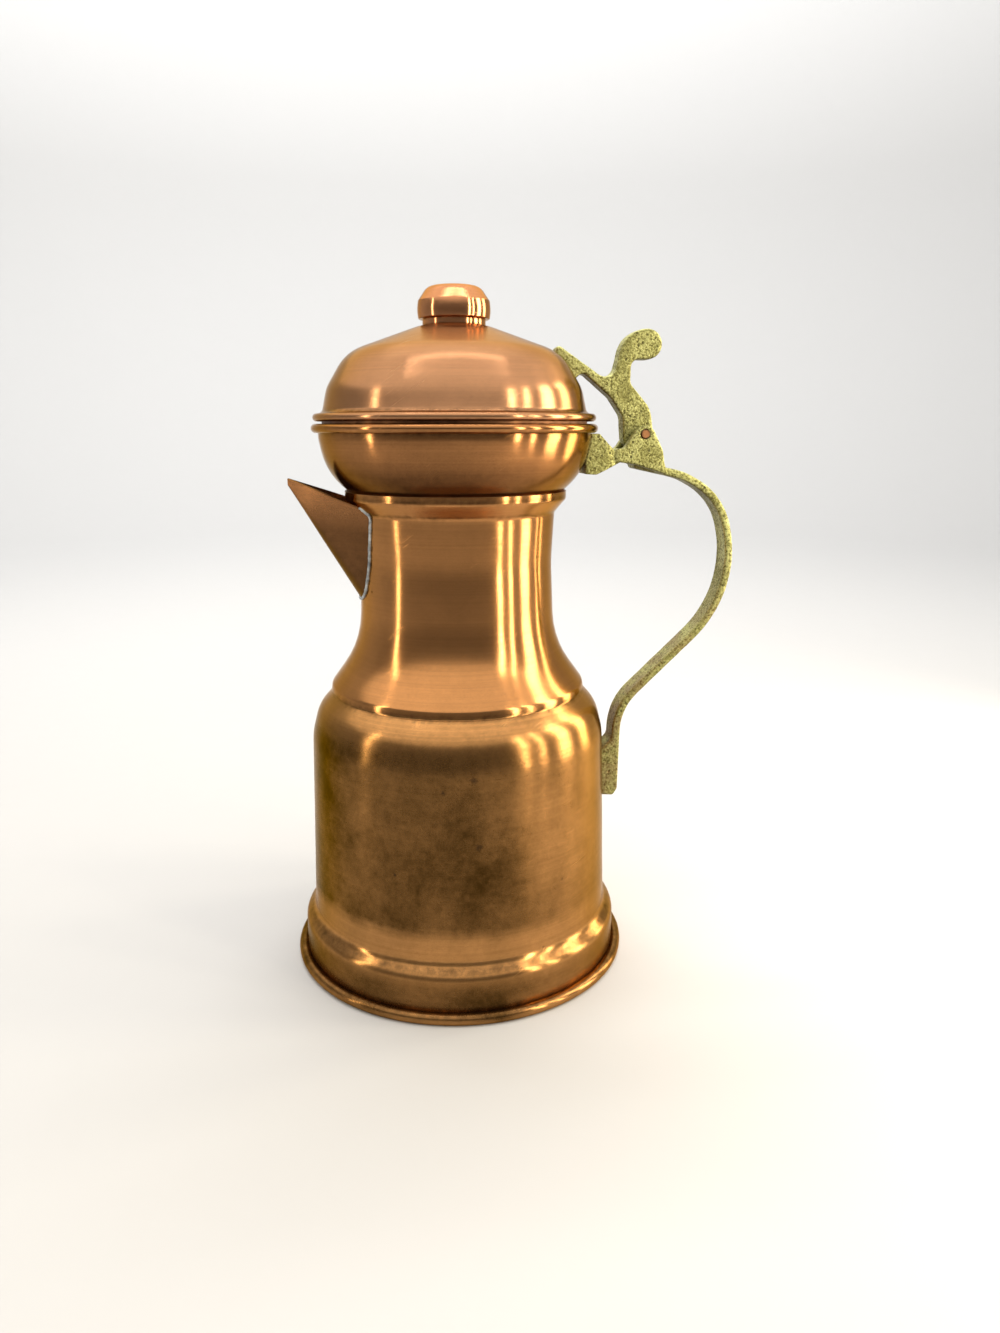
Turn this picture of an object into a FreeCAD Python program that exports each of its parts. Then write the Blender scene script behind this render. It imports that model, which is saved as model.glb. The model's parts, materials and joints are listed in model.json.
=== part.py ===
import FreeCAD, Part
import os
from math import asin, cos, sin, tan

from FreeCAD import Vector

# Copper pitcher with a hinged lid, in millimetres.
# The origin is the middle of the base on the table. +X points to the handle, -X to the spout, +Z up.
# Turned pieces are drawn as paths of corners (radius, height, bend) and spun about the Z axis.
# Castings are drawn as outlines of corners (x, z, bend) and given a width along Y.

# Copper sheet and the room left at its joints
sheet_wall = 0.8
lap_gap = 0.1
wire_gap = 0.15
rolled_tip = 0.15
overrun = 5.0
coincident = 1e-6

# Body: stepped foot, tall belly and rounded shoulder in one sheet
foot_radius = 68.4
foot_wall_height = 18.0
foot_step_rise = 4.4
foot_step_bend = 5.0
foot_wire_radius = 1.4
foot_worn_flat = 0.15
belly_base_radius = 64.2
belly_top_radius = 61.9
belly_wall_rise = 78.0
belly_top_bend = 22.0
shoulder_radius = 59.1
shoulder_rise = 10.8
shoulder_bend = 14.0
groove_rise = 7.7
groove_depth = 0.8
groove_bend = 1.2
neck_lap = 6.0

# Bottom plate: a shallow pan soldered inside the foot
bottom_height = 15.0
bottom_rim_depth = 7.0
bottom_bend = 2.0

# Neck: flared skirt over the body, waist, and a flared lip that takes the bowl
skirt_radius = 53.4
skirt_lip_radius = 53.0
skirt_lip_rise = 2.4
skirt_lip_bend = 3.0
flare_radius = 40.7
flare_rise = 19.3
flare_bend = 40.0
waist_radius = 39.2
waist_rise = 53.1
waist_bend = 60.0
neck_top_radius = 40.3
neck_rise = 73.0
neck_top_bend = 2.5
lip_radius = 44.9
lip_flare_rise = 5.5
lip_bend = 1.6
lip_rise = 3.0

# Strainer holes behind the spout
strainer_hole_radius = 2.7
strainer_pitch = 8.6
strainer_rows = 3
strainer_top_rise = 65.0

# Bowl: cup above the neck with a wired rim
bowl_tail = 6.0
crease_rise = 0.5
crease_bend = 1.2
bowl_swell_radius = 51.9
bowl_swell_rise = 7.8
bowl_swell_bend_shares = (0.62, 0.75)
bowl_wall_flare = 2.6
bowl_wall_rise = 20.5
bowl_wall_bend = 10.0
bowl_rim_rise = 24.45
bowl_wire_radius = 0.8

# Spout: an open beak, a cone of sheet from its point to the neck
spout_point_reach = 69.2
spout_point_rise = 14.2
spout_root_reach = 26.0
spout_root_half_width = 26.1
spout_keel_drop = 72.4
spout_rim_slope_share = 0.366
spout_side_lean_share = 0.185
spout_keel_round_share = 0.9
spout_tip_share = 0.045
spout_bore_tip_share = 0.01
spout_draw_back_share = 2.2
spout_drop_share = 1.9
solder_width = 1.5
solder_height = 0.9
solder_gap = 0.03
solder_keel_share = 1.7

# Lid: dome with a wired edge, and a bezel that drops into the bowl
seat_gap = 0.9
lid_rim_setback = 0.8
lid_wire_radius = 0.55
dome_ledge = 3.7
dome_foot_bend = 2.2
dome_side_lean = 2.1
dome_side_rise = 9.8
dome_side_bend = 14.0
dome_shoulder_inset = 8.0
dome_shoulder_rise = 22.9
dome_shoulder_bend = 18.0
dome_flat_radius = 14.5
dome_flat_rise = 33.0
dome_flat_bend = 6.0
bezel_gap = 0.8
bezel_depth = 5.3
bezel_joggle = 2.6
bezel_bend = 1.5
bezel_lap = 6.0

# Knob on the lid, held by a stud with a washer inside the dome
knob_neck_radius = 12.4
knob_neck_rise = 2.8
knob_band_radius = 14.0
knob_bulge_radius = 14.5
knob_shoulder_rise = 9.6
knob_crown_radius = 10.4
knob_crown_rise = 14.9
knob_rise = 15.5
knob_edge_bend = 0.5
knob_bulge_bend = 14.0
knob_crown_bend = 4.5
stud_radius = 2.0
stud_gap = 0.05
stud_depth = 9.0
stud_head_radius = 4.2
stud_head_rise = 1.8
washer_radius = 7.5
washer_thickness = 0.8

# Hinge: pin through two ears of the handle and the lever's knuckle
pin_reach = 19.5
pin_drop = 2.25
pin_radius = 1.85
pin_proud = 0.25
pin_chamfer = 0.3
pin_fit = 0.03
knuckle_fit = 0.08
lever_width = 8.6
ear_side_gap = 0.4
ear_thickness = 4.0
ear_round = 0.6
casting_round = 1.0

# Handle head: two ears on a bridge, in shares of the ear size measured from the pin
ear_size = 24.0
ear_shares = [
    (-0.51, -0.46, 0.04),
    (-0.51, -0.23, 0.05),
    (-0.367, -0.237, 0.07),
    (0.025, 0.346, 0.204),
    (0.33, -0.28, 0.25),
    (0.36, -0.47, 0.05),
    (0.43, -0.69, 0.04),
    (-0.17, -0.505, 0.3),
]
slot_shares = [
    (-0.41, 0.6, 0.04),
    (-0.41, -0.4, 0.06),
    (0.3, -0.4, 0.06),
    (0.5, -0.63, 0.04),
    (0.6, 0.6, 0.04),
]

# Handle pad: faceted block from the bowl to the ears, in shares of its reach and of its height
pad_height = 16.6
pad_top_drop = 1.9
pad_half_width = 9.0
pad_nose_half_width = 7.6
pad_shares = [
    (0.0, 0.0, 0.02),
    (0.383, 0.0, 0.05),
    (0.82, -0.41, 0.03),
    (1.0, -0.41, 0.02),
    (1.0, -0.7, 0.02),
    (0.322, -1.0, 0.08),
    (0.0, -0.98, 0.02),
]
pad_facet_share = 0.61

# Handle strap and foot: strap in shares of its reach and of the height from foot to pin.
# Its upper end lies under the ears, and its knee is above the foot, in shares of reach and foot rise.
# Each bend takes up shares of the runs before and after it, as in the bowl's swell.
strap_width = 11.5
strap_thickness = 3.5
strap_reach = 53.6
strap_root_shares = (-0.127, -0.432)
strap_root_bend_share = 0.45
strap_shares = [
    (0.606, 0.904),
    (0.928, 0.8425),
    (1.14, 0.58),
]
strap_knee_shares = (0.153, 1.605)
strap_bend_shares = [
    (0.23, 0.26),
    (0.65, 0.3),
    (0.69, 0.4),
    (0.135, 0.27),
]
handle_foot_height = 65.5
handle_foot_rise = 25.0
handle_foot_shares = [
    (0.3, 0.12, 0.06),
    (0.22, 0.0, 0.06),
    (-0.1, 0.03, 0.06),
    (-0.1, 0.8, 0.06),
    (0.16, 1.06, 0.16),
]

# Thumb lever: arm on the dome, thumb piece and knuckle, in shares of the thumb's rise from the pin
thumb_rise = 41.2
lever_shares = [
    (-0.32, 0.48, 0.11),
    (-0.205, 1.0, 0.28),
    (0.172, 1.0, 0.145),
    (0.172, 0.708, 0.145),
    (-0.134, 0.708, 0.075),
    (-0.134, 0.485, 0.075),
    (0.075, 0.252, 0.24),
    (0.15, -0.172, 0.155),
    (-0.187, -0.172, 0.155),
    (-0.209, 0.167, 0.15),
    (-0.335, 0.347, 0.15),
    (-0.62, 0.585, 0.06),
    (-0.71, 0.5, 0.04),
]
arm_height = 4.4
arm_tip_bend = 1.5
arm_depth = 10.0

# Rivets: domed heads inside, shanks set blind in the castings
rivet_radius = 1.8
rivet_gap = 0.05
rivet_depth = 4.5
rivet_head_radius = 3.2
rivet_head_rise = 1.4
bowl_rivet_spread = 5.0
bowl_rivet_drop = 11.5
belly_rivet_rises = (6.0, 16.5)
lever_rivet_radius = 1.3
lever_rivet_spread = 2.2
lever_rivet_depth = 1.9
lever_rivet_head_radius = 2.4
lever_rivet_head_rise = 1.1
lever_rivet_share = 0.25

# Heights and radii that several pieces share
foot_roll = foot_wire_radius + wire_gap
foot_rim_height = foot_roll + sheet_wall - foot_worn_flat
belly_base_height = foot_wall_height + foot_step_rise
belly_top_height = belly_base_height + belly_wall_rise
shoulder_height = belly_top_height + shoulder_rise
groove_height = shoulder_height + groove_rise
neck_top_height = groove_height + neck_rise
lip_base_height = neck_top_height + lip_flare_rise
lip_top_height = lip_base_height + lip_rise
bowl_roll = bowl_wire_radius + wire_gap
bowl_rim_height = lip_top_height + bowl_rim_rise
bowl_rim_top = bowl_rim_height + bowl_roll + sheet_wall
bowl_wall_radius = bowl_swell_radius + bowl_wall_flare
bowl_bead_radius = bowl_wall_radius + bowl_roll
bowl_outer_radius = bowl_bead_radius + bowl_roll + sheet_wall
lid_roll = lid_wire_radius + wire_gap + sheet_wall
lid_rim_height = bowl_rim_top + seat_gap + lid_roll
lid_base_height = lid_rim_height + lid_roll
lid_rim_radius = bowl_outer_radius - lid_rim_setback
lid_bead_radius = lid_rim_radius - lid_roll
dome_foot_radius = lid_rim_radius - dome_ledge
dome_side_radius = dome_foot_radius - dome_side_lean
dome_shoulder_radius = dome_side_radius - dome_shoulder_inset
dome_top_height = lid_base_height + dome_flat_rise
pin_x = bowl_outer_radius + pin_reach
pin_z = bowl_rim_height - pin_drop
lap_step = sheet_wall + lap_gap
up = Vector(0, 0, 1)
toward_handle = Vector(1, 0, 0)
across = Vector(0, 1, 0)

os.makedirs("parts", exist_ok=True)


# Paths and outlines of corners

def point(corner):
    return Vector(corner[0], 0, corner[1])


def heading(start, end):
    return (point(end) - point(start)).normalize()


def right_of(way):
    return Vector(way.z, 0, -way.x)


def between(start, end, share):
    """The corner that lies a share of the way from one corner to another."""
    return tuple(a + (b - a) * share for a, b in zip(start, end))


def run_length(start, end):
    return point(start).distanceToPoint(point(end))


def rounded_corner(before, corner, after):
    """Start, middle and end of the arc that rounds a corner with its bend radius."""
    arriving = heading(before, corner)
    leaving = heading(corner, after)
    half_turn = arriving.getAngle(leaving) / 2
    bend = corner[2]
    trim = bend * tan(half_turn)
    to_centre = (leaving - arriving).normalize()
    start = point(corner) - arriving * trim
    middle = point(corner) + to_centre * (bend / cos(half_turn) - bend)
    end = point(corner) + leaving * trim
    return start, middle, end


def fitted_bend(before, corner, after, shares):
    """The bend whose arc takes up at most these shares of the runs before and after a corner."""
    half_turn = heading(before, corner).getAngle(heading(corner, after)) / 2
    trim = min(shares[0] * run_length(before, corner), shares[1] * run_length(corner, after))
    return trim / tan(half_turn)


def add_run(edges, start, end):
    if start.distanceToPoint(end) > coincident:
        edges.append(Part.LineSegment(start, end).toShape())


def path_edges(path):
    """Edges along an open path of corners: straight runs joined by arcs."""
    edges = []
    here = point(path[0])
    for before, corner, after in zip(path, path[1:], path[2:]):
        start, middle, end = rounded_corner(before, corner, after)
        add_run(edges, here, start)
        edges.append(Part.Arc(start, middle, end).toShape())
        here = end
    add_run(edges, here, point(path[-1]))
    return edges


def outline_wire(outline):
    """Closed wire round an outline of corners: straight runs joined by arcs."""
    following = outline[1:] + outline[:1]
    arcs = []
    for i, corner in enumerate(outline):
        arcs.append(rounded_corner(outline[i - 1], corner, following[i]))
    edges = []
    for arc, next_arc in zip(arcs, arcs[1:] + arcs[:1]):
        edges.append(Part.Arc(*arc).toShape())
        add_run(edges, arc[2], next_arc[0])
    return Part.Wire(edges)


def offset_path(path, distance):
    """The path moved to the right of its direction of travel, with its bends kept concentric."""
    ways = [heading(a, b) for a, b in zip(path, path[1:])]
    moved = []
    for corner, arriving, leaving in zip(path, ways[:1] + ways, ways + ways[-1:]):
        sideways = (right_of(arriving) + right_of(leaving)) * (distance / (1 + arriving.dot(leaving)))
        place = point(corner) + sideways
        turns_right = arriving.cross(leaving).y > 0
        bend = corner[2] - distance if turns_right else corner[2] + distance
        moved.append((place.x, place.z, bend))
    return moved


def placed_shares(shares, x, z, size):
    """Outline corners from shares of one size, measured from a place."""
    return [(x + a * size, z + b * size, bend * size) for a, b, bend in shares]


# Solids

def outward(solid):
    """The same solid with its faces looking out."""
    if solid.Volume < 0:
        solid.reverse()
    return solid


def spun(edges):
    face = Part.Face(Part.Wire(Part.sortEdges(edges)[0]))
    return outward(face.revolve(Vector(0, 0, 0), up, 360))


def sheet(path):
    """Copper sheet spun from the path of its outer face, drawn from its top edge to its bottom edge."""
    inside = offset_path(path, sheet_wall)
    edges = path_edges(path) + path_edges(inside)
    add_run(edges, point(path[0]), point(inside[0]))
    add_run(edges, point(path[-1]), point(inside[-1]))
    return spun(edges)


def turned(path):
    """Solid spun from a path and closed along the axis."""
    edges = path_edges(path)
    first = point(path[0])
    last = point(path[-1])
    axis_first = Vector(0, 0, first.z)
    axis_last = Vector(0, 0, last.z)
    add_run(edges, axis_first, first)
    add_run(edges, last, axis_last)
    add_run(edges, axis_last, axis_first)
    return spun(edges)


def plate(outline, half_width):
    """Flat-sided solid with an outline in the XZ plane, as wide to both sides of it."""
    face = Part.Face(outline_wire(outline))
    face.translate(across * -half_width)
    return outward(face.extrude(across * 2 * half_width))


def soft_edged(solid, radius):
    """A plate with the edges of its two flat sides rounded."""
    rounded = []
    for face in solid.Faces:
        if face.BoundBox.YLength < coincident:
            rounded.extend(face.Edges)
    return solid.makeFillet(radius, rounded)


def prism(places, along):
    """Solid pushed out from a flat polygon."""
    return outward(Part.Face(Part.makePolygon(places + places[:1])).extrude(along))


def bar(start, along, length, radius):
    return Part.makeCylinder(radius, length, start, along)


def wire_ring(centre_radius, height, radius):
    return Part.makeTorus(centre_radius, radius, Vector(0, 0, height))


def rolled_edge(radius, height, roll, side):
    """Corners that wrap a sheet outwards round a wire, over it (side 1) or under it (side -1).
    The edge is tucked in until its back is a lap gap away from the wall."""
    near = height + side * roll
    far = height - side * roll
    wide = radius + 2 * roll
    tuck = asin((roll - lap_gap) / (roll + sheet_wall))
    trim = roll * tan(tuck / 2)
    turn = radius + roll - trim
    tip = (turn - trim * cos(tuck), far + side * trim * sin(tuck), 0)
    return [(radius, near, roll), (wide, near, roll), (wide, far, roll), (turn, far, roll), tip]


def domed_head(seat, along, radius, rise):
    """Round head that rises backwards from its seat, with a little stock left in front of it."""
    ball_radius = (radius ** 2 + rise ** 2) / (2 * rise)
    ball = Part.makeSphere(ball_radius, seat + along * (ball_radius - rise))
    return ball.common(bar(seat - along * overrun, along, overrun + rise, radius))


def write(name, shape):
    shape.exportStep("parts/" + name + ".step")


# Paths of the sheets, each along its outer face from top to bottom

neck_path = [
    (lip_radius, lip_top_height, 0),
    (lip_radius, lip_base_height, lip_bend),
    (neck_top_radius, neck_top_height, neck_top_bend),
    (waist_radius, groove_height + waist_rise, waist_bend),
    (flare_radius, groove_height + flare_rise, flare_bend),
    (skirt_lip_radius, groove_height + skirt_lip_rise, skirt_lip_bend),
    (skirt_radius, groove_height, 0),
]
neck_lining = offset_path(neck_path, lap_step)

collar_share = neck_lap / run_length(neck_path[5], neck_path[4])
body_path = [
    between(neck_lining[5], neck_lining[4], collar_share),
    neck_lining[5],
    (neck_lining[6][0], groove_height - groove_depth, groove_bend),
    (shoulder_radius, shoulder_height, shoulder_bend),
    (belly_top_radius, belly_top_height, belly_top_bend),
    (belly_base_radius, belly_base_height, foot_step_bend),
    (foot_radius, foot_wall_height, foot_step_bend),
] + rolled_edge(foot_radius, foot_rim_height, foot_roll, -1)

tail_share = bowl_tail / run_length(neck_path[2], neck_path[3])
bowl_wall = (bowl_wall_radius, lip_top_height + bowl_wall_rise, bowl_wall_bend)
bowl_swell = (bowl_swell_radius, lip_top_height + bowl_swell_rise)
bowl_crease = (neck_lining[0][0], lip_top_height + crease_rise, crease_bend)
bowl_swell_bend = fitted_bend(bowl_wall, bowl_swell, bowl_crease, bowl_swell_bend_shares)
bowl_path = rolled_edge(bowl_wall_radius, bowl_rim_height, bowl_roll, 1)[::-1] + [
    bowl_wall,
    bowl_swell + (bowl_swell_bend,),
    bowl_crease,
    neck_lining[1],
    neck_lining[2],
    between(neck_lining[2], neck_lining[3], tail_share),
]

dome_path = [
    (stud_radius + lap_gap, dome_top_height, 0),
    (dome_flat_radius, dome_top_height, dome_flat_bend),
    (dome_shoulder_radius, lid_base_height + dome_shoulder_rise, dome_shoulder_bend),
    (dome_side_radius, lid_base_height + dome_side_rise, dome_side_bend),
    (dome_foot_radius, lid_base_height, dome_foot_bend),
    (lid_rim_radius, lid_base_height, lid_roll),
    (lid_rim_radius, lid_rim_height - lid_roll, lid_roll),
    (lid_bead_radius - rolled_tip, lid_rim_height - lid_roll, 0),
]

dome_lining = offset_path(dome_path, lap_step)
side_length = run_length(dome_path[3], dome_path[4])
bezel_shoulder = between(dome_lining[4], dome_lining[3], bezel_joggle / side_length)
bezel_radius = bowl_wall_radius - sheet_wall - bezel_gap
bezel_path = [
    between(dome_lining[4], dome_lining[3], bezel_lap / side_length),
    bezel_shoulder[:2] + (bezel_bend,),
    (bezel_radius, lid_rim_height - bezel_joggle / 2, bezel_bend),
    (bezel_radius, bowl_rim_top - bezel_depth, 0),
]

bottom_radius = foot_radius - lap_step
bottom_path = [
    (0, bottom_height, 0),
    (bottom_radius, bottom_height, bottom_bend),
    (bottom_radius, bottom_height - bottom_rim_depth, 0),
]

# Sheets before their holes, and the volumes that other pieces are fitted to

body = sheet(body_path)
neck = sheet(neck_path)
bowl = sheet(bowl_path)
dome = sheet(dome_path)
body_room = turned(offset_path(body_path[2:7], -lap_gap))
body_inside = turned(offset_path(body_path[2:7], sheet_wall + rivet_gap))
neck_room = turned(offset_path(neck_path[1:], -lap_gap))
bowl_room = turned(offset_path(bowl_path[4:9], -lap_gap))
bowl_inside = turned(offset_path(bowl_path[4:9], sheet_wall + rivet_gap))
bowl_bead_room = wire_ring(bowl_bead_radius, bowl_rim_height, bowl_roll + sheet_wall + lap_gap)
dome_room = turned(offset_path(dome_path[:5], -lap_gap))
dome_inside = turned(offset_path(dome_path[:5], sheet_wall + rivet_gap))


# Rivets: where each one sits on the inside of its sheet, and its hole

def inside_face(sheet_solid, y, height):
    """The place on the handle's side where the inside of a sheet lies."""
    probe = Part.makeLine(Vector(0, y, height), Vector(2 * foot_radius, y, height))
    return min((vertex.Point for vertex in probe.common(sheet_solid).Vertexes), key=lambda place: place.x)


def rivet_hole(seat, along, radius, depth):
    return bar(seat - along * overrun, along, overrun + sheet_wall + depth + rivet_gap, radius + rivet_gap)


def rivet(seat, along, radius, depth, head_radius, head_rise, room_inside):
    """One rivet: its head follows the inside of the sheet, and its shank ends in the casting."""
    head = domed_head(seat, along, head_radius, head_rise).common(room_inside)
    shank = bar(seat - along * (head_rise / 2), along, head_rise / 2 + sheet_wall + depth, radius)
    return head.fuse(shank).removeSplitter()


bowl_rivet_height = bowl_rim_height - bowl_rivet_drop
bowl_seats = [inside_face(bowl, side * bowl_rivet_spread, bowl_rivet_height) for side in (-1, 1)]
bowl_rivet_holes = [rivet_hole(seat, toward_handle, rivet_radius, rivet_depth) for seat in bowl_seats]

belly_seats = [inside_face(body, 0, handle_foot_height + rise) for rise in belly_rivet_rises]
belly_rivet_holes = [rivet_hole(seat, toward_handle, rivet_radius, rivet_depth) for seat in belly_seats]

arm_spot = point(between(dome_path[2], dome_path[3], lever_rivet_share))
dome_normal = right_of(heading(dome_path[2], dome_path[3])) * -1
arm_seat = arm_spot - dome_normal * sheet_wall
lever_seats = [arm_seat + across * side * lever_rivet_spread for side in (-1, 1)]
lever_rivet_holes = [
    rivet_hole(seat, dome_normal, lever_rivet_radius, lever_rivet_depth) for seat in lever_seats
]

# Body, bottom plate and foot wire

table = Part.makeBox(4 * foot_radius, 4 * foot_radius, overrun)
table.translate(Vector(-2 * foot_radius, -2 * foot_radius, -overrun))
write("body", body.cut([table] + belly_rivet_holes))
write("bottom_plate", sheet(bottom_path))
write("foot_rim_wire", wire_ring(foot_radius + foot_roll, foot_rim_height, foot_wire_radius))

# Neck with a triangle of strainer holes behind the spout

strainer_holes = []
for row in range(strainer_rows):
    holes_in_row = strainer_rows - row
    height = groove_height + strainer_top_rise - row * strainer_pitch
    for place in range(holes_in_row):
        y = (place - (holes_in_row - 1) / 2) * strainer_pitch
        start = Vector(-waist_radius - overrun, y, height)
        strainer_holes.append(bar(start, toward_handle, waist_radius, strainer_hole_radius))
write("neck", neck.cut(strainer_holes))

# Bowl and its rim wire

write("bowl", bowl.cut(bowl_rivet_holes))
write("bowl_rim_wire", wire_ring(bowl_bead_radius, bowl_rim_height, bowl_wire_radius))

# Spout and the line of solder along its seam

spout_point = Vector(-spout_point_reach, 0, neck_top_height + spout_point_rise)
spout_length = spout_point_reach - spout_root_reach
spout_rim_drop = spout_rim_slope_share * spout_length
side_way = Vector(-spout_side_lean_share, 0, -1)
keel_turn = side_way.getAngle(Vector(-1, 0, 0))


def spout_cone(growth, tip_share):
    """Solid beak from near its point to a round-bottomed section inside the neck."""
    top = overrun - spout_rim_drop
    low = -spout_keel_drop - growth * solder_keel_share
    top_half = spout_root_half_width + growth + spout_side_lean_share * overrun
    low_half = top_half - spout_side_lean_share * (top - low)
    keel_bend = low_half * spout_keel_round_share / tan(keel_turn / 2)
    outline = [
        (top_half, top, overrun / 2),
        (low_half, low, keel_bend),
        (-low_half, low, keel_bend),
        (-top_half, top, overrun / 2),
    ]
    sections = []
    for share in (tip_share, 1):
        section = outline_wire([tuple(share * size for size in corner) for corner in outline])
        section.rotate(Vector(0, 0, 0), up, 90)
        section.translate(spout_point + toward_handle * spout_length * share)
        sections.append(section)
    return outward(Part.makeLoft(sections, True, True))


rim_tip = spout_point + Vector(-1, 0, spout_rim_slope_share) * overrun
rim_root = spout_point + Vector(1, 0, -spout_rim_slope_share) * spout_point_reach
above_rim = prism([rim_tip, rim_root, rim_root + up * dome_top_height, rim_tip + up * dome_top_height],
                  across * 4 * spout_root_half_width)
above_rim.translate(across * -2 * spout_root_half_width)

spout_hollow = spout_cone(0, spout_bore_tip_share)
spout_hollow.translate(Vector(spout_draw_back_share, 0, -spout_drop_share) * sheet_wall)
write("spout", spout_cone(0, spout_tip_share).cut([spout_hollow, neck_room, above_rim]))

solder_skin = turned(offset_path(neck_path[1:], -solder_height))
solder_skin = solder_skin.cut(turned(offset_path(neck_path[1:], -solder_gap)))
solder = solder_skin.common(spout_cone(solder_width, spout_tip_share))
write("spout_solder", solder.cut([spout_cone(lap_gap, spout_tip_share), above_rim]))

# Handle casting: ears on a bridge, pad, and strap with its foot

ear_inner = lever_width / 2 + ear_side_gap
ear_outer = ear_inner + ear_thickness
ears = soft_edged(plate(placed_shares(ear_shares, pin_x, pin_z, ear_size), ear_outer), ear_round)
ears = ears.cut(plate(placed_shares(slot_shares, pin_x, pin_z, ear_size), ear_inner))

pad_top = bowl_rim_height - pad_top_drop
pad_nose = pin_x + slot_shares[0][0] * ear_size
pad_reach = pad_nose - bowl_swell_radius
pad_facet = bowl_swell_radius + pad_facet_share * pad_reach
pad_outline = []
for reach_share, rise_share, bend_share in pad_shares:
    x = bowl_swell_radius + reach_share * pad_reach
    pad_outline.append((x, pad_top + rise_share * pad_height, bend_share * pad_height))
pad_plan = prism(
    [
        Vector(bowl_swell_radius, -pad_half_width, 0),
        Vector(pad_facet, -pad_half_width, 0),
        Vector(pad_nose, -pad_nose_half_width, 0),
        Vector(pad_nose, pad_nose_half_width, 0),
        Vector(pad_facet, pad_half_width, 0),
        Vector(bowl_swell_radius, pad_half_width, 0),
    ],
    up * dome_top_height,
)
pad = plate(pad_outline, pad_half_width).common(pad_plan)

belly_share = (belly_top_height - handle_foot_height) / belly_wall_rise
belly_radius = belly_top_radius + (belly_base_radius - belly_top_radius) * belly_share
handle_span = pin_z - handle_foot_height
handle_foot = placed_shares(handle_foot_shares, belly_radius, handle_foot_height, handle_foot_rise)
strap_line = [(pin_x + strap_root_shares[0] * ear_size, pin_z + strap_root_shares[1] * ear_size)]
for reach_share, rise_share in strap_shares:
    x = belly_radius + reach_share * strap_reach
    strap_line.append((x, handle_foot_height + rise_share * handle_span))
knee_x = belly_radius + strap_knee_shares[0] * strap_reach
strap_line.append((knee_x, handle_foot_height + strap_knee_shares[1] * handle_foot_rise))
strap_path = [strap_line[0] + (strap_root_bend_share * strap_thickness,)]
following = strap_line[2:] + handle_foot[:1]
for before, corner, after, shares in zip(strap_line, strap_line[1:], following, strap_bend_shares):
    strap_path.append(corner + (fitted_bend(before, corner, after, shares),))
lining = offset_path(strap_path + handle_foot[:1], strap_thickness)
strap_root = lining[0][:2] + strap_path[0][2:]
strap = plate(strap_path + handle_foot + lining[-2:0:-1] + [strap_root], strap_width / 2)
strap = soft_edged(strap, casting_round)

pin_end = Vector(pin_x, -ear_outer - pin_proud, pin_z)
pin_length = 2 * (ear_outer + pin_proud)
ear_bore = bar(pin_end, across, pin_length, pin_radius + pin_fit)
handle = strap.fuse([ears, pad])
handle = handle.cut([bowl_room, bowl_bead_room, body_room, ear_bore] + bowl_rivet_holes + belly_rivet_holes)
write("handle", handle.removeSplitter())

bowl_rivets = []
for seat in bowl_seats:
    bowl_rivets.append(rivet(
        seat, toward_handle, rivet_radius, rivet_depth, rivet_head_radius, rivet_head_rise, bowl_inside
    ))
write("handle_bowl_rivets", Part.makeCompound(bowl_rivets))
belly_rivets = []
for seat in belly_seats:
    belly_rivets.append(rivet(
        seat, toward_handle, rivet_radius, rivet_depth, rivet_head_radius, rivet_head_rise, body_inside
    ))
write("handle_belly_rivets", Part.makeCompound(belly_rivets))

pin = bar(pin_end, across, pin_length, pin_radius)
write("hinge_pin", pin.makeChamfer(pin_chamfer, [edge for edge in pin.Edges if edge.Closed]))

# Lid dome, rim wire and bezel

write("lid_dome", dome.cut(lever_rivet_holes))
write("lid_rim_wire", wire_ring(lid_bead_radius, lid_rim_height, lid_wire_radius))
write("lid_bezel", sheet(bezel_path))

# Knob, its stud and the washer inside the dome

knob = turned([
    (0, dome_top_height, 0),
    (knob_neck_radius, dome_top_height, knob_edge_bend),
    (knob_neck_radius, dome_top_height + knob_neck_rise, knob_edge_bend),
    (knob_band_radius, dome_top_height + knob_neck_rise, knob_edge_bend),
    (knob_bulge_radius, dome_top_height + (knob_neck_rise + knob_shoulder_rise) / 2, knob_bulge_bend),
    (knob_band_radius, dome_top_height + knob_shoulder_rise, knob_edge_bend),
    (knob_crown_radius, dome_top_height + knob_crown_rise, knob_crown_bend),
    (0, dome_top_height + knob_rise, 0),
])
knob_seat = up * dome_top_height
write("knob", knob.cut(bar(knob_seat, up, stud_depth + stud_gap, stud_radius + stud_gap)))

washer_base = knob_seat - up * (sheet_wall + washer_thickness)
washer = bar(washer_base, up, washer_thickness, washer_radius)
write("knob_washer", washer.cut(bar(washer_base, up, washer_thickness, stud_radius + lap_gap)))

stud = bar(washer_base, up, sheet_wall + washer_thickness + stud_depth, stud_radius)
stud_head = domed_head(washer_base, up, stud_head_radius, stud_head_rise)
stud_head = stud_head.common(bar(washer_base - up * overrun, up, overrun, washer_radius))
write("knob_stud", stud.fuse(stud_head).removeSplitter())

# Thumb lever casting and its rivets

arm_end = [
    (dome_shoulder_radius - arm_height, dome_path[2][1] - arm_depth, arm_tip_bend),
    (dome_shoulder_radius - arm_height / 2, dome_path[2][1] + arm_height, arm_tip_bend),
]
lever = plate(placed_shares(lever_shares, pin_x, pin_z, thumb_rise) + arm_end, lever_width / 2)
lever = soft_edged(lever, casting_round)
knuckle_bore = bar(pin_end, across, pin_length, pin_radius + knuckle_fit)
write("thumb_lever", lever.cut([dome_room, knuckle_bore] + lever_rivet_holes))

lever_rivets = []
for seat in lever_seats:
    lever_rivets.append(rivet(
        seat, dome_normal, lever_rivet_radius, lever_rivet_depth, lever_rivet_head_radius,
        lever_rivet_head_rise, dome_inside
    ))
write("lever_rivets", Part.makeCompound(lever_rivets))
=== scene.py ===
import cmath
import json
import math

import bmesh
import bpy
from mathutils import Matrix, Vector, noise


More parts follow.
